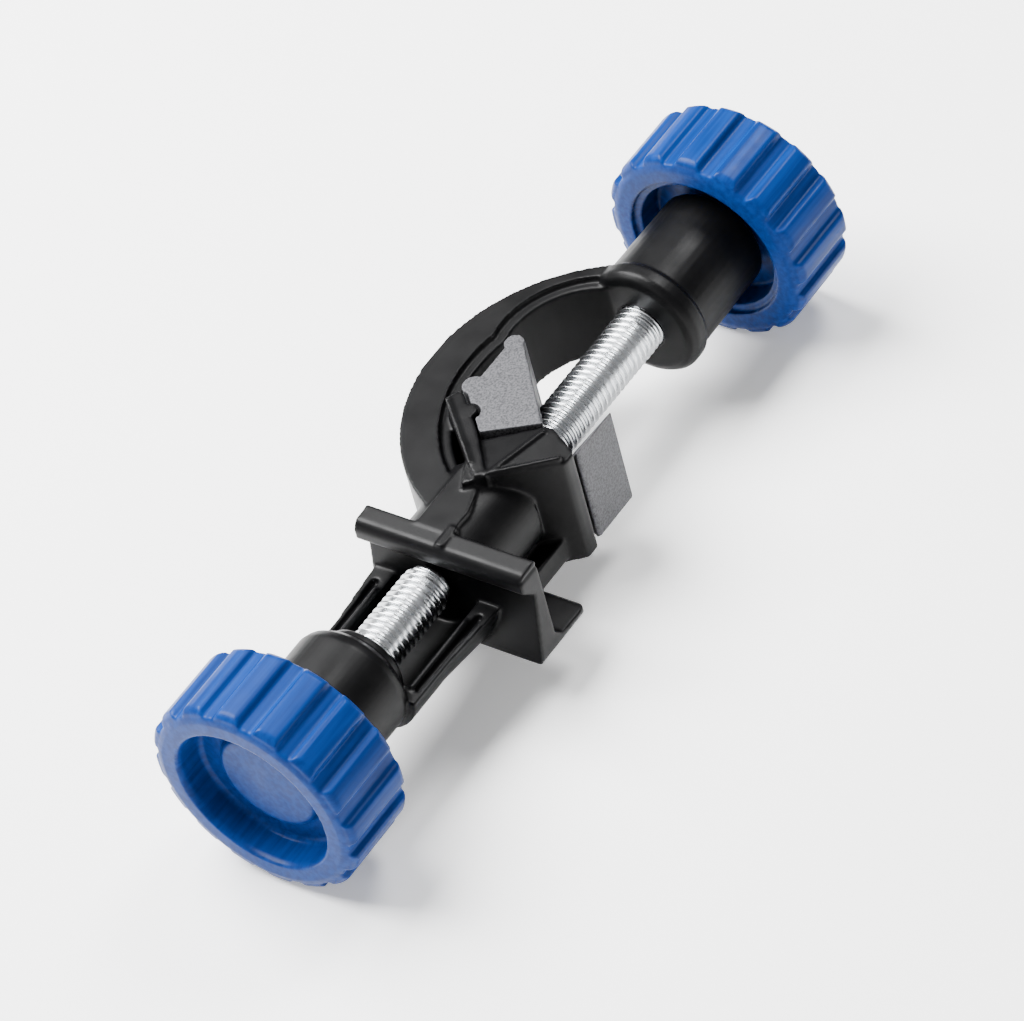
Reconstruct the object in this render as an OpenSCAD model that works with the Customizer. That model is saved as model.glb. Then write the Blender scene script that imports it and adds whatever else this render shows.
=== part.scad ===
// Boss head clamp: a black body with two jaws in line, each closed by a
// steel screw with a fluted blue knob.
// X runs along the screw axis, from the near knob (-X) to the far knob (+X).
// Z is up, and is the direction of the rod held in the far jaw.
// Y points to the open side's opposite: the curved arm is on +Y.
// The origin is on the screw axis, between the two jaws.
// Sizes are in millimetres.

/* [View] */

// which piece to draw

/* [Knobs] */

// outside diameter over the ridges
knob_diameter = 44; // [36:0.5:52]
// length of the grip along the axis
knob_length = 18; // [14:0.5:22]
// number of ridges round the grip
ridge_count = 16; // [10:1:20]
// height of each ridge above the plain disc
ridge_height = 1.4; // [0.5:0.1:2]
// share of the pitch taken by the crest of a ridge
ridge_share = 0.5; // [0.35:0.01:0.65]
// diameter of the recess in the outer face
recess_diameter = 31.5; // [26:0.5:34]
// depth of the recess in the outer face
recess_depth = 6.5; // [3:0.5:8]
// diameter of the raised disc in the recess
disc_diameter = 21; // [16:0.5:24]
// height of the raised disc above the recess floor
disc_height = 1.6; // [0.5:0.1:3]
// diameter of the hollow in the inner face
hollow_diameter = 32.5; // [28:0.5:35]
// depth of the hollow in the inner face
hollow_depth = 7; // [4:0.5:8]

/* [Screws] */

// outside diameter of the thread
screw_diameter = 10; // [8:0.5:12]
// thread pitch, used for the length of the end chamfers
screw_pitch = 1.5; // [1:0.25:2]
// diameter of the turned tip that carries the far jaw
tip_diameter = 6; // [4:0.5:7]
// length of the plain nose that the near screw pushes
nose_length = 1.2; // [0.8:0.1:3]
// diameter of the spigot that holds the nose in the screw
nose_spigot = 5; // [4:0.5:6]
// radial clearance between screw and threaded bore
thread_clearance = 0.05; // [0.01:0.01:0.1]

/* [Axial positions] */

// outer face of the near knob
knob_a_x = -80; // [-90:0.5:-74]
// end of the near sleeve, where the trough starts
sleeve_a_x = -43; // [-48:0.5:-38]
// front edge of the near jaw plate
plate_x = -22.5; // [-26:0.5:-20]
// inner corner of the far V jaw
vee_x = -0.9; // [-3:0.1:2]
// inner end of the far sleeve
sleeve_b_x = 50; // [46:0.5:56]
// inner face of the far knob
knob_b_x = 72.5; // [70:0.5:80]

/* [Body] */

// outside diameter of the near sleeve
sleeve_a_diameter = 23.5; // [22:0.5:27]
// outside diameter of the far sleeve
sleeve_b_diameter = 24.4; // [22:0.2:27]
// height of the trough rims below the screw axis
rim_drop = 2; // [1:0.5:4]
// inside radius of the trough
trough_radius = 9.6; // [8:0.2:10.5]
// outside radius of the trough
trough_outer = 13; // [12:0.5:14.5]
// thickness of the near jaw plate along the axis
plate_thickness = 5.4; // [4.5:0.1:7]
// reach of the near jaw plate towards the curved arm
plate_left = 15; // [13:0.5:22]
// reach of the near jaw plate away from the curved arm
plate_right = 22.5; // [18:0.5:24]
// height of the near jaw plate above the axis
plate_top = 10.5; // [9:0.5:13]
// depth of the near jaw plate below the axis
plate_bottom = 13; // [11:0.5:16]
// length of the foot behind the near jaw plate
foot_length = 10; // [6:0.5:12]
// radius of the round core between the jaws
core_radius = 10.4; // [9:0.2:12]
// half height of the far V jaw
vee_half_height = 13; // [11:0.5:15]
// half width of the far V jaw
vee_half_width = 15; // [13:0.5:17]
// thickness of the V jaw wings
wing_thickness = 4.6; // [3:0.1:5.5]
// corner of the V seat, along the axis
seat_x = 4.1; // [2:0.1:6]
// corner of the V seat, towards the curved arm
seat_y = 3.9; // [0:0.1:5]
// outside reach of the curved arm from the axis
arm_reach = 27; // [24:0.5:32]
// thickness of the curved arm in its own plane
arm_thickness = 8.5; // [6:0.5:10]
// height of the curved arm
arm_height = 18; // [14:0.5:20]

/* [Pressure jaw] */

// half height of the pressure jaw
jaw_half_height = 12.5; // [10:0.5:14]
// half width of the pressure jaw
jaw_half_width = 13.5; // [12:0.5:15]
// thickness of the pressure jaw along the axis
jaw_depth = 16.5; // [13:0.5:18]
// how far the pressure jaw can be wound back
jaw_travel = 15; // [10:0.5:18]

/* [Hidden] */

eps = 0.01;
screw_r = screw_diameter / 2;
bore_r = screw_r + thread_clearance;
// the near screw stops just short of the seat in the plate
screw_a_tip = plate_x + 1.2;
jaw_back = vee_x + 0.9 + jaw_depth;
black = [0.12, 0.12, 0.13];
blue = [0.10, 0.33, 0.75];
zinc = [0.78, 0.79, 0.80];
grey = [0.66, 0.66, 0.68];

// a cylinder from x0 to x1 along the screw axis
module rod(x0, x1, r, n = 96)
{
  translate([x0, 0, 0])
    rotate([0, 90, 0])
      cylinder(h = x1 - x0, r = r, $fn = n);
}

// a cone from x0 to x1 along the screw axis
module cone(x0, x1, r0, r1, n = 96)
{
  translate([x0, 0, 0])
    rotate([0, 90, 0])
      cylinder(h = x1 - x0, r1 = r0, r2 = r1, $fn = n);
}

// a box given by its two opposite corners
module block(p, q)
{
  translate(p)
    cube(q - p);
}

// a flat shape in the XY plane raised between two heights
module plan(z0, z1)
{
  translate([0, 0, z0])
    linear_extrude(height = z1 - z0)
      children();
}

// ---------------------------------------------------------------- knobs

// outline of the grip: wide ridges with sloping sides round a plain disc
module ridge_outline()
{
  r = knob_diameter / 2;
  p = 360 / ridge_count;
  // half angles at the foot, at the shoulder and on the crest of a ridge
  a = p * ridge_share / 2 + 2.2;
  b = p * ridge_share / 2 + 0.4;
  c = p * ridge_share / 2 - 1.2;
  v = r - ridge_height;
  polygon([
    for (i = [0:ridge_count - 1])
      for (q = [[-p / 2, v], [-a, v], [-b, r - 0.3], [-c, r], [0, r + 0.05],
          [c, r], [b, r - 0.3], [a, v]])
        [q[1] * cos(i * p + q[0]), q[1] * sin(i * p + q[0])]
  ]);
}

// one knob with its outer face at z = 0 and its inner face at z = length
module knob_solid()
{
  r = knob_diameter / 2;
  v = r - ridge_height;
  // the ridges stop just short of the two faces
  intersection()
  {
    translate([0, 0, 0.5])
      linear_extrude(height = knob_length - 1)
        ridge_outline();
    rotate_extrude($fn = 96)
      polygon([
        [0, 0],
        [v - 0.2, 0],
        [r - 0.5, 0.9],
        [r + 1, 3],
        [r + 1, knob_length - 3],
        [r - 0.5, knob_length - 0.9],
        [v - 0.2, knob_length],
        [0, knob_length]
      ]);
  }
  rotate_extrude($fn = 96)
    polygon([
      [0, 0],
      [v - 1.3, 0],
      [v - 0.4, 0.3],
      [v - 0.1, 1.1],
      [v - 0.1, knob_length - 1.1],
      [v - 0.4, knob_length - 0.3],
      [v - 1.3, knob_length],
      [0, knob_length]
    ]);
}

// the round hollows of a knob, turned about its axis
module knob_hollows()
{
  rr = recess_diameter / 2;
  hr = hollow_diameter / 2;
  dr = disc_diameter / 2;
  rotate_extrude($fn = 96)
    polygon([
      [dr, recess_depth],
      [rr - 0.8, recess_depth],
      [rr, recess_depth - 0.8],
      [rr, 1.2],
      [rr + 0.9, -1],
      [0, -1],
      [0, recess_depth - disc_height],
      [dr - 0.7, recess_depth - disc_height],
      [dr, recess_depth - disc_height + 0.7]
    ]);
  translate([0, 0, knob_length - hollow_depth])
    cylinder(h = hollow_depth + 1, r = hr - 1.5, $fn = 96);
  translate([0, 0, knob_length - 1.2])
    cylinder(h = 3, r = hr, $fn = 96);
}

module knob()
{
  difference()
  {
    knob_solid();
    knob_hollows();
    translate([0, 0, recess_depth + 1.2])
      cylinder(h = knob_length, r = screw_r, $fn = 64);
  }
}

module knob_a()
{
  color(blue)
    translate([knob_a_x, 0, 0])
      rotate([0, 90, 0])
        knob();
}

module knob_b()
{
  color(blue)
    translate([knob_b_x + knob_length, 0, 0])
      rotate([0, -90, 0])
        knob();
}

// --------------------------------------------------------------- screws

module screw_a()
{
  x0 = knob_a_x + recess_depth + 1.2;
  x1 = screw_a_tip - nose_length;
  c = screw_pitch * 0.4;
  color(zinc)
    difference()
    {
      union()
      {
        rod(x0, x1 - c, screw_r, 64);
        cone(x1 - c, x1, screw_r, screw_r - c, 64);
      }
      // blind hole for the spigot of the nose
      rod(x1 - 5, x1 + 1, nose_spigot / 2 + thread_clearance, 48);
    }
}

// thrust nose: it slides with the near screw but does not turn with it
module nose_a()
{
  x1 = screw_a_tip;
  x0 = x1 - nose_length;
  r = screw_r - screw_pitch * 0.5;
  color(zinc)
    union()
    {
      rod(x0, x1 - 0.6, r, 64);
      cone(x1 - 0.6, x1, r, r - 0.8, 64);
      rod(x0 - 4, x0 + 0.5, nose_spigot / 2, 48);
    }
}

module screw_b()
{
  x1 = knob_b_x + knob_length - recess_depth - 1.2;
  x0 = jaw_back - 2.5;
  c = screw_pitch * 0.5;
  color(zinc)
    union()
    {
      cone(x0, x0 + c, screw_r - c, screw_r, 64);
      rod(x0 + c, x1, screw_r, 64);
      // the turned tip sits in the blind hole of the jaw
      rod(x0 - 5, x0 + c, tip_diameter / 2, 48);
    }
}

// --------------------------------------------------------- pressure jaw

// plan of the full-height half of the jaw, on the side of the curved arm
module jaw_left_plan()
{
  w = jaw_half_width;
  k = jaw_back + w;
  difference()
  {
    union()
    {
      polygon([
        [seat_x + 0.8, seat_y],
        [seat_x + 7.1, seat_y - 9.7],
        [k - 1.2, w - 3.2],
        [k - 1.6, w - 1.4],
        [seat_x + 8.6, w - 1.4],
        [seat_x + 1, seat_y + 0.5]
      ]);
      // two rounded lobes at the end
      translate([k - 2.7, w - 2.3])
        circle(r = 2, $fn = 32);
      translate([seat_x + 10.7, w - 1.4])
        circle(r = 2.3, $fn = 32);
    }
    // groove that clears the rib on the thin wing
    translate([vee_x + 9.4, 8.9])
      circle(r = 2.2, $fn = 32);
  }
}

// plan of the lower half of the jaw, on the open side
module jaw_right_plan()
{
  w = jaw_half_width;
  polygon([
    [seat_x + 6.5, seat_y - 8.7],
    [seat_x + 7.1, seat_y - 9.7],
    [seat_x + 7.7, seat_y - 12.3],
    [seat_x + 4.9, -w - 0.4],
    [seat_x + 5.5, -w - 0.8],
    [jaw_back + 4.2, -w - 0.8],
    [jaw_back + 4.6, -w],
    [jaw_back, -0.6],
    [jaw_back, 1]
  ]);
}

module jaw_b()
{
  h = jaw_half_height;
  w = jaw_half_width;
  color(grey)
    difference()
    {
      union()
      {
        plan(-h, h)
          jaw_left_plan();
        // the open side slopes down towards the screw
        difference()
        {
          plan(-h, h)
            jaw_right_plan();
          translate([0, -w - 1.4, h - 1.8])
            rotate([-52, 0, 0])
              block([seat_x - 2, -8, 0], [jaw_back + 8, 24, 24]);
        }
      }
      // seat of the screw shoulder and blind hole for its turned tip
      rod(jaw_back - 2.5, jaw_back + 20, screw_r + 0.4, 64);
      rod(jaw_back - 7.8, jaw_back + 1, tip_diameter / 2 + thread_clearance, 48);
    }
}

// ----------------------------------------------------------------- body

// far sleeve with a ring at its inner end
module sleeve_b()
{
  r = sleeve_b_diameter / 2;
  x = sleeve_b_x;
  translate([x, 0, 0])
    rotate([0, 90, 0])
      rotate_extrude($fn = 96)
        polygon([
          [0, 0],
          [r - 2.2, 0],
          [r - 0.9, 0.5],
          [r, 1.6],
          [r, 4.2],
          [r - 0.8, 5.0],
          [r - 1.1, knob_b_x - x + 3.2],
          [r - 2, knob_b_x - x + 4.2],
          [0, knob_b_x - x + 4.2]
        ]);
}

// near sleeve with a rounded shoulder and a neck ring
module sleeve_a()
{
  r = sleeve_a_diameter / 2;
  x0 = knob_a_x + knob_length - 4.2;
  h = sleeve_a_x - x0;
  translate([x0, 0, 0])
    rotate([0, 90, 0])
      rotate_extrude($fn = 96)
        polygon([
          [0, 0],
          [r - 1, 0],
          [r, 1],
          [r, h - 5.5],
          [r - 0.5, h - 3.9],
          [r - 1.8, h - 2.6],
          [r - 3.4, h - 2],
          [r - 3.6, h - 0.4],
          [r - 4, h],
          [0, h]
        ]);
}

// open trough that joins the near sleeve to the near jaw plate
module trough()
{
  x0 = sleeve_a_x - 4;
  x1 = plate_x + 3;
  difference()
  {
    union()
    {
      rod(x0, x1, trough_outer);
      // the trough gets a little wider towards the plate
      cone(x1 - 16, x1, trough_outer, trough_outer + 1.4);
    }
    block([x0 - 1, -20, -rim_drop], [x1 + 1, 20, 20]);
    rod(sleeve_a_x - 0.5, x1 + 1, trough_radius);
    // a long slot with round ends in the top of each rim
    for (s = [-1, 1])
      plan(-rim_drop - 1.1, 1)
        hull()
        {
          translate([sleeve_a_x - 0.5, s * (trough_outer - 1.9)])
            circle(r = 0.65, $fn = 24);
          translate([plate_x - 1.8, s * (trough_outer - 1.3)])
            circle(r = 0.65, $fn = 24);
        }
  }
  // the rounded inner lip on each side
  for (s = [-1, 1])
    translate([sleeve_a_x - 1, s * (trough_radius + 0.55), -rim_drop])
      rotate([0, 90, 0])
        cylinder(h = plate_x - sleeve_a_x - 2.5, r = 0.6, $fn = 24);
}

// side view of the near jaw plate, drawn as [x, z]
module plate_profile()
{
  x = plate_x;
  t = plate_thickness;
  polygon([
    [x + 0.6, plate_top - 0.9],
    [x + 1.4, plate_top - 0.2],
    [x + t - 0.5, plate_top],
    [x + t, plate_top - 0.6],
    [x + t, -plate_bottom + 4.4],
    [x + t + 1.6, -plate_bottom + 2.6],
    [x + t + foot_length - 1, -plate_bottom + 2.4],
    [x + t + foot_length, -plate_bottom + 1.4],
    [x + t + foot_length, -plate_bottom + 0.6],
    [x + t + foot_length - 0.8, -plate_bottom],
    [x + 0.6, -plate_bottom],
    [x, -plate_bottom + 0.6],
    [x + 2.9, 3.7],
    [x, 6.4],
    [x, plate_top - 2]
  ]);
}

// near jaw plate: a wide plate with a lipped seat across its face
module plate()
{
  difference()
  {
    translate([0, plate_left, 0])
      rotate([90, 0, 0])
        linear_extrude(height = plate_left + plate_right)
          plate_profile();
    // a shallow bevel shortens the lip at the far corner
    translate([plate_x - 1, -plate_right - 1, plate_top - 2.4])
      rotate([25, 0, 0])
        block([0, -3, 0], [plate_thickness + 3, 1.6, 6]);
    // round the two corners of the foot as seen from above
    for (s = [[plate_left, 1], [-plate_right, -1]])
      translate([plate_x + plate_thickness + foot_length, s[0], -plate_bottom - 1])
        difference()
        {
          translate([-2.5, s[1] > 0 ? -2.5 : -1, 0])
            cube([3.5, 3.5, plate_bottom]);
          translate([-2.5, -s[1] * 2.5, -1])
            cylinder(h = plate_bottom + 2, r = 2.5, $fn = 48);
        }
    // round the two bottom corners as seen along the screw
    for (s = [[plate_left, 1], [-plate_right, -1]])
      translate([plate_x - 1, s[0], -plate_bottom])
        difference()
        {
          translate([0, s[1] > 0 ? -2 : -1, -1])
            cube([plate_thickness + foot_length + 3, 3, 3]);
          translate([-1, -s[1] * 2, 2])
            rotate([0, 90, 0])
              cylinder(h = plate_thickness + foot_length + 5, r = 2, $fn = 48);
        }
  }
  // small rib over the middle of the lip
  block([plate_x + 1.2, -4.6, plate_top - 1.5],
    [plate_x + plate_thickness + 1, -3.1, plate_top + 0.35]);
}

// round core, top strap and bottom web between the two jaws
module middle()
{
  x0 = plate_x + plate_thickness - 1;
  x1 = vee_x - 1;
  rod(x0, x1 + 1.5, core_radius);
  // top strap, wider at the plate than at the jaw
  plan(0, core_radius + 0.2)
    polygon([
      [x0, -4.6],
      [x0 + 1.6, -4],
      [x0 + 6, -4.2],
      [x0 + 9, -3.4],
      [x1, -0.6],
      [x1, 3.8],
      [x0, 3.8]
    ]);
  // bottom web
  plan(-plate_bottom + 1, -7)
    polygon([[x0, -12.2], [x1 + 6, -12.2], [x1 + 6, 12.2], [x0, 12.2]]);
}

// plan of the thin wing beside the curved arm, the taller part of the V jaw
module thin_wing_plan()
{
  w = vee_half_width;
  polygon([
    [vee_x - 4.6, -2],
    [vee_x - 2.6, 0.8],
    [vee_x + w - 5.4, w - 0.8],
    [vee_x + w - 4.6, w - 0.1],
    [vee_x + w - 2.2, w - 1.4],
    [vee_x + w - 2.1, w - 2.6],
    [seat_x, seat_y],
    [vee_x - 3.2, -3.4]
  ]);
  // a half-round rib on the inner face
  translate([vee_x + 9.4, 8.9])
    circle(r = 1.7, $fn = 32);
}

// plan of the thick wing, on the open side
module thick_wing_plan()
{
  w = vee_half_width;
  t = wing_thickness * sqrt(2);
  polygon([
    [vee_x - t, 0],
    [vee_x - t + w - 3.8, -w + 0.9],
    [vee_x - t + w - 3.2, -w + 0.2],
    [vee_x - t + w - 2.4, -w],
    [vee_x + w - 6.8, -w],
    [vee_x + w - 6, -w + 0.8],
    [seat_x + 7, seat_y - 12.1],
    [seat_x + 6.4, seat_y - 10],
    [seat_x, seat_y],
    [vee_x - 1, 3]
  ]);
}

module vee()
{
  h = vee_half_height;
  plan(-h, h)
    thin_wing_plan();
  // raised rim along the outer edge of the thin wing
  plan(h - 1, h + 0.35)
    polygon([
      [vee_x - 2.6, 0.8],
      [vee_x + vee_half_width - 5.4, vee_half_width - 0.8],
      [vee_x + vee_half_width - 4.7, vee_half_width - 1.2],
      [vee_x - 1.9, 0.5]
    ]);
  // two shallow facets meet at a crease that runs from the root of the V
  difference()
  {
    plan(-h, h)
      thick_wing_plan();
    translate([vee_x - 3.8, -3.4, h - 0.5])
      rotate([0, 0, -15.9])
      {
        rotate([-8, 0, 0])
          block([-9, -1, 0], [26, 22, 8]);
        rotate([6, 0, 0])
          block([-9, -22, 0], [26, 1, 8]);
      }
  }
  // raised edge along the back of the thick wing
  plan(h - 2, h + 0.1)
    polygon([
      [vee_x - wing_thickness * sqrt(2) + 1.6, -1.6],
      [vee_x - wing_thickness * sqrt(2) + vee_half_width - 3.2, -vee_half_width + 0.6],
      [vee_x - wing_thickness * sqrt(2) + vee_half_width - 2.3, -vee_half_width + 0.9],
      [vee_x - wing_thickness * sqrt(2) + 2.6, -1.6]
    ]);
  // thin ridge along the crease
  translate([vee_x - 3.8, -3.4, 0])
    rotate([0, 0, -15.9])
      block([0, -0.35, 0], [14.6, 0.35, h + 0.05]);
}

// inner outline of the curved arm, widened by extra: the main arc, and an
// arc that leaves room for the pressure jaw when it is wound back
module arm_inside(extra)
{
  translate([23, arm_reach - 40])
    circle(r = 39 - arm_thickness + extra, $fn = 180);
  translate([jaw_back + jaw_travel + 2.5, 0])
    circle(r = jaw_half_width + 3.5 + extra, $fn = 180);
}

// ring sector that forms the curved arm, cut to the arm height
module arm()
{
  // outer arc through the plate side and the far sleeve
  ro = 38;
  h = arm_height / 2;
  difference()
  {
    plan(-h, h)
      intersection()
      {
        translate([22, arm_reach - ro])
          circle(r = ro, $fn = 180);
        translate([-18, 0])
          square([80, 60]);
      }
    plan(-h - 1, h + 1)
      intersection()
      {
        arm_inside(0);
        translate([vee_x - 8, -20])
          square([sleeve_b_x - vee_x + 14, 80]);
      }
    // a lower ledge runs along the inside of the broad top band
    plan(h - 1.1, h + 1)
      arm_inside(2.2);
  }
}

// the bores: threaded holes stand as plain bores of the thread size
module body()
{
  color(black)
    difference()
    {
      union()
      {
        sleeve_a();
        sleeve_b();
        trough();
        plate();
        middle();
        vee();
        arm();
      }
      rod(knob_a_x, plate_x + 1, bore_r, 64);
      rod(sleeve_b_x - 12, knob_b_x + 10, bore_r, 64);
    }
}

body();
knob_a();
knob_b();
screw_a();
screw_b();
nose_a();
jaw_b();
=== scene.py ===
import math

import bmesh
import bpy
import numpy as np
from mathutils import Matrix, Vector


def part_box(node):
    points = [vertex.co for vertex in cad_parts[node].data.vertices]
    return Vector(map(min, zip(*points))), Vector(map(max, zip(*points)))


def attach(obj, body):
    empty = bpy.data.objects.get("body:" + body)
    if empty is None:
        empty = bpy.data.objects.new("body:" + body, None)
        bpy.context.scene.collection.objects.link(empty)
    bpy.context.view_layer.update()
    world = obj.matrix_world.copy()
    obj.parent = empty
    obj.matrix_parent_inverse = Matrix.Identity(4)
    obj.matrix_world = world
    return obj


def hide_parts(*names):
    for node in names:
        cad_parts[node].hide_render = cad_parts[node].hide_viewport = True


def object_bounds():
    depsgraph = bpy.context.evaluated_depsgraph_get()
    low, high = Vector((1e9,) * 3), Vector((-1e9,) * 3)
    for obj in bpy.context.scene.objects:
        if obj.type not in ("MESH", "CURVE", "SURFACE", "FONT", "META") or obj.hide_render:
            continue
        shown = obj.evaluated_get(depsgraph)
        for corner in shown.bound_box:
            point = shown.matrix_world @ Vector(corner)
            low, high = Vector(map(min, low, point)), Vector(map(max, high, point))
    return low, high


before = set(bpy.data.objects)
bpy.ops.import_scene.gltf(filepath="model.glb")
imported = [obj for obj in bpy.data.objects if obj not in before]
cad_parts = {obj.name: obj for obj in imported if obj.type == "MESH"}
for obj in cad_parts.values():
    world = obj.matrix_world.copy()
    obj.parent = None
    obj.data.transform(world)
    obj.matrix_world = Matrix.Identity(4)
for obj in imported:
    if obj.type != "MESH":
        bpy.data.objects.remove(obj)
cad_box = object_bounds()

# %% [markdown]
# # A boss head clamp
# A boss head joins two rods at right angles on a laboratory stand. Its black
# casting carries two jaws in line; a fine-threaded screw with a ridged blue
# knob closes each one. The construction model already holds every true size,
# so this file only gives each piece its finish: rounded edges on what was
# cast or moulded, a real thread on what was rolled, and a surface for each.

MM = 0.001


def linear(code):
    """Linear colour from an sRGB hex code: c/12.92 below 0.04045, else ((c+0.055)/1.055)^2.4."""
    channels = [int(code[i : i + 2], 16) / 255 for i in (1, 3, 5)]
    out = [c / 12.92 if c <= 0.04045 else ((c + 0.055) / 1.055) ** 2.4 for c in channels]
    return (*out, 1.0)


def add(tree, kind, settings=None, links=None):
    """Adds one node. A name in settings is an input socket where there is one, else a property."""
    node = tree.nodes.new(kind)
    for name, value in (settings or {}).items():
        if name in node.inputs:
            node.inputs[name].default_value = value
        else:
            setattr(node, name, value)
    for name, source in (links or {}).items():
        tree.links.new(source, node.inputs[name])
    return node


def start_material(name):
    """A new material with only its shader, its output and a point in object space in metres."""
    material = bpy.data.materials.new(name)
    material.use_nodes = True
    tree = material.node_tree
    tree.nodes.clear()
    place = add(tree, "ShaderNodeTexCoord").outputs["Object"]
    shader = add(tree, "ShaderNodeBsdfPrincipled")
    add(tree, "ShaderNodeOutputMaterial", links={"Surface": shader.outputs["BSDF"]})
    return material, tree, place, shader


def grain(tree, place, size_mm, detail=2.0):
    """Noise whose cells are about size_mm across: scale = 1 / size in metres."""
    return add(
        tree,
        "ShaderNodeTexNoise",
        {"Scale": 1 / (size_mm * MM), "Detail": detail, "Roughness": 0.55},
        {"Vector": place},
    ).outputs["Fac"]


def between(tree, value, low, high, start=0.3, end=0.7):
    """Maps value from start..end to low..high in a straight line, clamped."""
    settings = {"From Min": start, "From Max": end, "To Min": low, "To Max": high}
    return add(tree, "ShaderNodeMapRange", settings, {"Value": value}).outputs["Result"]


def blend_colours(tree, factor, first, second):
    """Colour mix: first x (1 - factor) + second x factor."""
    ramp = add(tree, "ShaderNodeValToRGB", links={"Fac": factor})
    ramp.color_ramp.elements[0].color = linear(first)
    ramp.color_ramp.elements[1].color = linear(second)
    return ramp.outputs["Color"]


# %% [markdown]
# ## Black powder coat
# The body is a die casting with a black powder coat. The powder melts into a
# film with a faint orange peel about half a millimetre across, and handling
# polishes some places more than others. That gives the eye broad soft
# highlights on the round sleeves rather than sharp reflections.

# %% Powder coat
POWDER_COAT = "black_powder_coated_casting"


def powder_coat():
    """Dielectric film, IOR 1.5; roughness 0.34 to 0.46 in 7 mm patches; peel of 0.5 mm cells."""
    material, tree, place, shader = start_material(POWDER_COAT)
    shader.inputs["IOR"].default_value = 1.5
    shader.inputs["Specular IOR Level"].default_value = 0.13
    patches = grain(tree, place, 7.0)
    tree.links.new(blend_colours(tree, patches, "#030304", "#060607"), shader.inputs["Base Color"])
    tree.links.new(between(tree, patches, 0.34, 0.46), shader.inputs["Roughness"])
    bump = add(
        tree,
        "ShaderNodeBump",
        {"Strength": 0.35, "Distance": 0.03 * MM},
        {"Height": grain(tree, place, 0.5)},
    )
    tree.links.new(bump.outputs["Normal"], shader.inputs["Normal"])
    return material


# %% [markdown]
# ## Blue moulded plastic
# The knobs are injection moulded in a tough blue plastic. A polished mould
# leaves a smooth skin with slow waves where the plastic shrank, so the
# highlights along the ridges are soft and a little uneven. Faint streaks of
# painted shade and painted highlight run along the axis over the ridges, darker
# and lighter in random places, standing in for the shade in the grooves and
# the light on the ridge edges.

# %% Knob plastic
# how far the painted shade and highlight streaks are drawn out along the knob's axis
STREAK_STRETCH = 20


def knob_plastic():
    """Plastic, IOR 1.53; roughness 0.30 to 0.40; 4 mm shrink waves, painted shade and highlight
    streaks and a 0.4 mm grain.

    The painted shade and highlight streaks are 1.2 mm wide and STREAK_STRETCH times as long, along
    the knob's axis.
    """
    material, tree, place, shader = start_material("blue_moulded_plastic")
    shader.inputs["IOR"].default_value = 1.53
    shader.inputs["Specular IOR Level"].default_value = 0.08
    waves = grain(tree, place, 4.0)
    along = add(
        tree, "ShaderNodeMapping", {"Scale": (1 / STREAK_STRETCH, 1, 1)}, {"Vector": place}
    ).outputs["Vector"]
    # painted shade and highlight: random darker and lighter streaks along the axis stand in for
    # the shade in the grooves and the light on the ridge edges
    shade_and_highlight_streaks = between(tree, grain(tree, along, 1.2), 0.0, 1.0, 0.38, 0.62)
    tree.links.new(blend_colours(tree, shade_and_highlight_streaks, "#02255E", "#042F70"), shader.inputs["Base Color"])
    tree.links.new(between(tree, waves, 0.30, 0.40), shader.inputs["Roughness"])
    slow = add(
        tree,
        "ShaderNodeBump",
        {"Strength": 0.25, "Distance": 0.08 * MM},
        {"Height": waves},
    )
    fine = add(
        tree,
        "ShaderNodeBump",
        {"Strength": 0.2, "Distance": 0.02 * MM},
        {"Height": grain(tree, place, 0.4), "Normal": slow.outputs["Normal"]},
    )
    tree.links.new(fine.outputs["Normal"], shader.inputs["Normal"])
    return material


# %% [markdown]
# ## Zinc-plated steel
# The screws are rolled steel with a bright zinc plating. Plating is a metal,
# so it has no colour of its own beside its reflections, and its gloss
# changes slowly along the screw. The thread itself breaks up the highlights.

# %% Zinc plating
def zinc_plating():
    """Metal; roughness 0.22 to 0.30 in slow patches of 5 mm."""
    material, tree, place, shader = start_material("bright_zinc_plated_steel")
    shader.inputs["Metallic"].default_value = 1.0
    patches = grain(tree, place, 5.0)
    tree.links.new(blend_colours(tree, patches, "#C8CBCE", "#DCDEE0"), shader.inputs["Base Color"])
    tree.links.new(between(tree, patches, 0.22, 0.30), shader.inputs["Roughness"])
    return material


# %% [markdown]
# ## Blasted cast aluminium
# The pressure jaw is a raw casting that was blasted with grit. The grit
# leaves pits of a fifth of a millimetre, which are too fine to show, so they
# are drawn about twice as coarse. They scatter the light: the metal looks
# pale grey and matt with a salt-and-pepper speckle.

# %% Blasted aluminium
def blasted_aluminium():
    """Rough metal; speckle cells of 0.4 mm between two greys, with pits in step with them."""
    material, tree, place, shader = start_material("blasted_cast_aluminium")
    shader.inputs["Metallic"].default_value = 0.55
    speckle = grain(tree, place, 0.4, 3.0)
    shade = between(tree, speckle, 0.0, 1.0, 0.36, 0.64)
    tree.links.new(blend_colours(tree, shade, "#2E2E31", "#545457"), shader.inputs["Base Color"])
    tree.links.new(between(tree, speckle, 0.50, 0.68), shader.inputs["Roughness"])
    bump = add(
        tree,
        "ShaderNodeBump",
        {"Strength": 0.6, "Distance": 0.06 * MM},
        {"Height": speckle},
    )
    tree.links.new(bump.outputs["Normal"], shader.inputs["Normal"])
    return material


coat, plastic, zinc, aluminium = powder_coat(), knob_plastic(), zinc_plating(), blasted_aluminium()

# %% [markdown]
# ## Rounded castings and mouldings
# No cast or moulded edge is perfectly sharp: paint and plastic both pull
# round a corner, and the small round catches a thin line of light. A Bevel
# modifier trips over the short edges where the solids meet, so each piece is
# rebuilt instead from its own distance field. The Remesh modifier samples
# the solid on a fine cubic grid, which keeps every flat and every cylinder,
# and a pass or more of the Smooth modifier then melts the edges alone. The
# casting has more triangles than it needs, so the Decimate modifier merges
# some on its flats, and Weighted Normal keeps each wide flat looking flat.

# %% Rounding
WELD_WITHIN = 0.002 * MM  # the loose triangles' corners agree far closer than this


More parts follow.
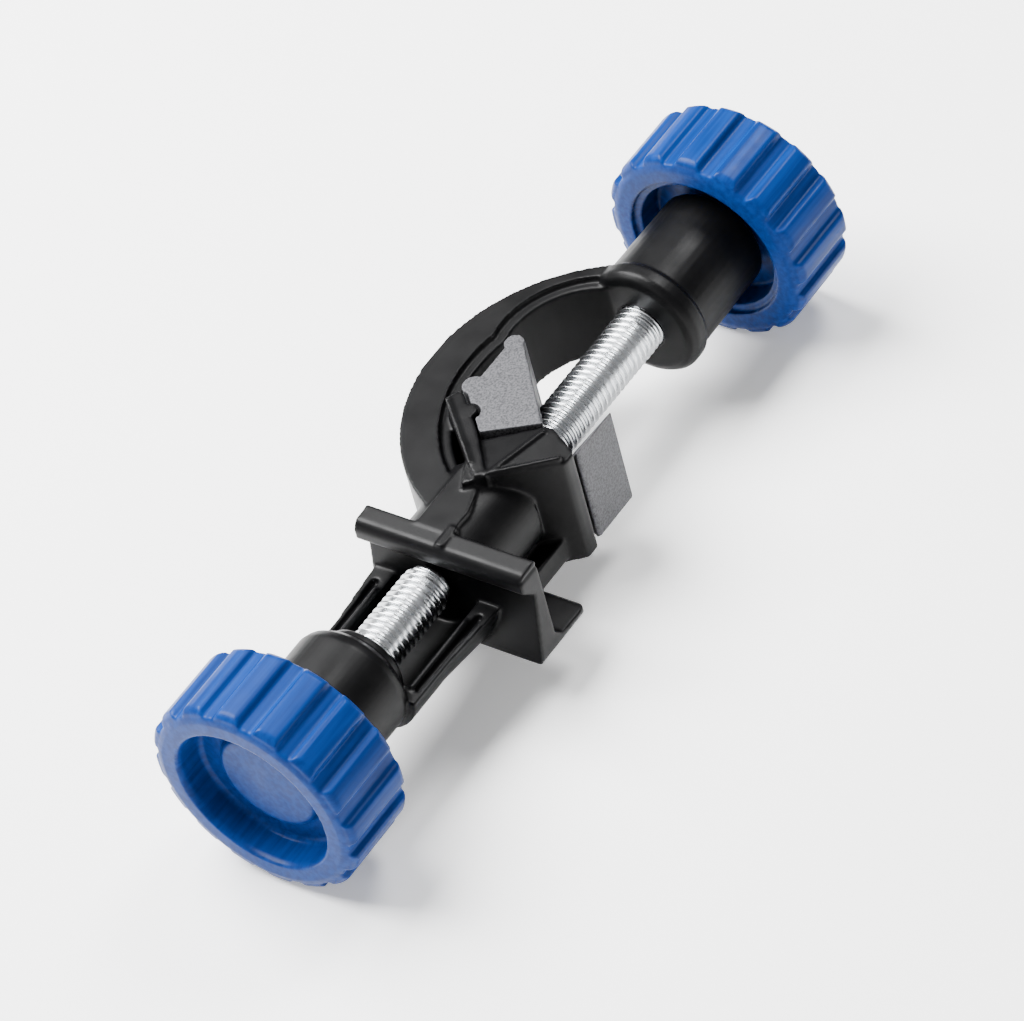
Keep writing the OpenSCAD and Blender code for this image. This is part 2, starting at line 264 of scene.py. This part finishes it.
def welded_copy(node, name):
    """Object with the CAD node's surface, its loose triangles joined at their corners."""
    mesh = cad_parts[node].data.copy()
    solid = bmesh.new()
    solid.from_mesh(mesh)
    bmesh.ops.remove_doubles(solid, verts=solid.verts, dist=WELD_WITHIN)
    solid.to_mesh(mesh)
    solid.free()
    piece = bpy.data.objects.new(name, mesh)
    bpy.context.scene.collection.objects.link(piece)
    return piece


def rounded_copy(node, name, cell_mm, passes, material, body_name, keep=1.0):
    """Makes a piece that stands for a CAD node, its edges rounded over cell_mm x sqrt(passes).

    Decimate then merges triangles until the share in keep is left, on the flats first.
    """
    piece = welded_copy(node, name)
    remesh = piece.modifiers.new("distance_field", "REMESH")
    remesh.mode = "VOXEL"
    remesh.voxel_size = cell_mm * MM
    melt = piece.modifiers.new("melted_edges", "SMOOTH")
    melt.factor = 0.5
    melt.iterations = passes
    thin = piece.modifiers.new("merged_flats", "DECIMATE")
    thin.ratio = keep
    seen = piece.evaluated_get(bpy.context.evaluated_depsgraph_get())
    mesh = bpy.data.meshes.new_from_object(seen)
    piece.modifiers.clear()
    piece.data = mesh
    mesh.materials.clear()
    mesh.materials.append(material)
    mesh.shade_smooth()
    even = piece.modifiers.new("normals_by_area", "WEIGHTED_NORMAL")
    even.mode = "FACE_AREA"
    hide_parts(node)
    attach(piece, body_name)
    print(name, "triangles", sum(len(p.vertices) - 2 for p in mesh.polygons))


rounded_copy("body", "cast_body", 0.36, 1, coat, "casting", 0.58)
rounded_copy("knob_a", "near_knob", 0.32, 2, plastic, "near_knob_turner")
rounded_copy("knob_b", "far_knob", 0.32, 2, plastic, "far_knob_turner")
rounded_copy("jaw_b", "pressure_jaw", 0.25, 3, aluminium, "jaw_slider")
rounded_copy("nose_a", "near_screw_nose", 0.12, 2, zinc, "nose_slider")

# %% [markdown]
# ## Threads
# A thread is a ridge that climbs one pitch for each turn. The surface is a
# grid whose rows follow the helix, so each row stays on a crest, a flank or a
# root all the way round. After a full turn a row meets the row one pitch
# further on, and joining them there closes the surface with no seam.

# %% Thread surface
PITCH = 1.5 * MM
DEPTH_SHARE = 0.62  # thread depth as a share of the pitch
END_DROP = 0.1 * MM  # the end faces lie this far below the root
ROWS_PER_PITCH = 10
COLUMNS = 72
# the far screw's plain tip is hidden in the pressure jaw, so its thread starts past it
HIDDEN_TIP = 5 * MM


def thread_mesh(name, x_start, x_end, crest, root):
    """Right-hand thread along X from x_start to x_end.

    For row i and angle a: x = x_start + pitch (i / rows_per_pitch + a / 2 pi), held between
    the two ends. The radius follows a triangle with its top and bottom cut flat, between
    root and crest. A 45 degree chamfer keeps it under root - END_DROP + the distance from
    the nearer end.
    """
    rows = int(math.ceil((x_end - x_start) / PITCH)) * ROWS_PER_PITCH + ROWS_PER_PITCH
    i = np.arange(-ROWS_PER_PITCH, rows + 1)[:, None]
    a = np.arange(COLUMNS + 1)[None, :] / COLUMNS * 2 * np.pi
    x = x_start + PITCH * (i / ROWS_PER_PITCH + a / (2 * np.pi))
    phase = (i % ROWS_PER_PITCH) / ROWS_PER_PITCH
    tooth = np.clip(1.25 - 4.5 * np.abs(phase - 0.5), 0.0, 1.0) + 0 * a
    inside = np.clip(x, x_start, x_end)
    from_end = np.minimum(inside - x_start, x_end - inside)
    radius = np.minimum(root + (crest - root) * tooth, root - END_DROP + from_end)
    radius = np.maximum(radius, root - END_DROP)
    angle = a + 0 * x
    points = np.stack([inside, radius * np.cos(angle), radius * np.sin(angle)], axis=-1)
    count = points.shape[0]
    corner = np.arange(count * (COLUMNS + 1)).reshape(count, COLUMNS + 1)
    quads = np.stack(
        [corner[:-1, :-1], corner[:-1, 1:], corner[1:, 1:], corner[1:, :-1]], axis=-1
    ).reshape(-1, 4)
    mesh = bpy.data.meshes.new(name)
    mesh.from_pydata(points.reshape(-1, 3).tolist(), [], quads.tolist())
    return mesh


def close_ends(mesh):
    """Welds the helix seam, drops what lies flat in the end planes and caps both ends."""
    shape = bmesh.new()
    shape.from_mesh(mesh)
    bmesh.ops.remove_doubles(shape, verts=shape.verts, dist=0.001 * MM)
    bmesh.ops.dissolve_degenerate(shape, edges=shape.edges, dist=0.0005 * MM)
    open_edges = [e for e in shape.edges if e.is_boundary]
    bmesh.ops.holes_fill(shape, edges=open_edges, sides=0)
    bmesh.ops.recalc_face_normals(shape, faces=shape.faces)
    left = sum(1 for e in shape.edges if not e.is_manifold)
    for face in shape.faces:
        face.smooth = True
    shape.to_mesh(mesh)
    shape.free()
    print(mesh.name, "faces", len(mesh.polygons), "open edges", left)


def thread_piece(node, name, x_start, x_end, body_name):
    """A threaded screw that stands for a CAD screw, from x_start to x_end."""
    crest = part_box(node)[1].y
    mesh = thread_mesh(name, x_start, x_end, crest, crest - DEPTH_SHARE * PITCH)
    close_ends(mesh)
    mesh.materials.append(zinc)
    piece = bpy.data.objects.new(name, mesh)
    bpy.context.scene.collection.objects.link(piece)
    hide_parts(node)
    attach(piece, body_name)


near_low, near_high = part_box("screw_a")
far_low, far_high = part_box("screw_b")
thread_piece("screw_a", "near_screw", near_low.x, near_high.x, "near_knob_turner")
far_start = far_low.x + HIDDEN_TIP
thread_piece("screw_b", "far_screw", far_start, far_high.x, "far_knob_turner")

# %% [markdown]
# ## Studio
# The clamp lies in a bright product studio: a white floor, a large soft box
# up on the side of the curved arm, a pale surround that fills the shadows,
# and two weak boxes. One lifts the near end; the other stands beyond the far
# end and draws a soft band along the round sleeves. The camera is far off
# with a long lens, which keeps the two knobs almost the same size.

# %% Floor
def floor_material():
    """Matt white paint with a very faint mottling, lit a little from within like a light table."""
    material, tree, place, shader = start_material("white_studio_floor")
    mottle = grain(tree, place, 60.0)
    tree.links.new(blend_colours(tree, mottle, "#F4F4F4", "#F8F8F8"), shader.inputs["Base Color"])
    shader.inputs["Roughness"].default_value = 0.8
    shader.inputs["Emission Color"].default_value = (1, 1, 1, 1)
    shader.inputs["Emission Strength"].default_value = 0.35
    return material


FLOOR_HALF = 3.0  # metres, far past the camera's view
FLOOR_GAP = 0.2 * MM
floor_z = cad_box[0][2] - FLOOR_GAP
corners = np.array([[-1, -1, 0], [1, -1, 0], [1, 1, 0], [-1, 1, 0]], float)
grid = corners * FLOOR_HALF + [0, 0, floor_z]
floor_mesh = bpy.data.meshes.new("studio_floor")
floor_mesh.from_pydata(grid.tolist(), [], [[0, 1, 2, 3]])
floor_mesh.materials.append(floor_material())
floor = bpy.data.objects.new("studio_floor", floor_mesh)
bpy.context.scene.collection.objects.link(floor)

# %% Lights
def soft_box(name, place, size, power, aim=(0, 0, 0)):
    """A square area light of the given side in metres and power in watts, aimed at a point."""
    light = bpy.data.lights.new(name, "AREA")
    light.size = size
    light.energy = power
    lamp = bpy.data.objects.new(name, light)
    direction = np.array(aim, float) - np.array(place, float)
    lamp.rotation_euler = Vector(direction).to_track_quat("-Z", "Y").to_euler()
    lamp.location = place
    bpy.context.scene.collection.objects.link(lamp)


soft_box("key_soft_box", (-0.05, 0.50, 0.80), 0.75, 54.0)
soft_box("fill_soft_box", (-0.85, -0.05, 0.50), 0.5, 1.5)
soft_box("band_soft_box", (0.60, -0.12, 0.85), 0.3, 9.0)
world = bpy.data.worlds.new("pale_surround")
world.use_nodes = True
world.node_tree.nodes["Background"].inputs["Color"].default_value = (1, 1, 1, 1)
world.node_tree.nodes["Background"].inputs["Strength"].default_value = 0.3
bpy.context.scene.world = world

# %% Camera
camera = bpy.data.cameras.new("camera")
camera.lens = 201.4  # mm
camera.sensor_width = 36.0  # mm
camera.clip_end = 10.0  # metres
camera_object = bpy.data.objects.new("camera", camera)
bpy.context.scene.collection.objects.link(camera_object)
# the camera's own axes and its place, in metres
right = (0.5430, -0.8158, -0.1992)
up = (0.6663, 0.2742, 0.6934)
back = (-0.5111, -0.5092, 0.6924)
eye = (-0.53890, -0.54019, 0.72935)
camera_object.matrix_world = Matrix(
    [[right[k], up[k], back[k], eye[k]] for k in range(3)] + [[0, 0, 0, 1]]
)
bpy.context.scene.camera = camera_object
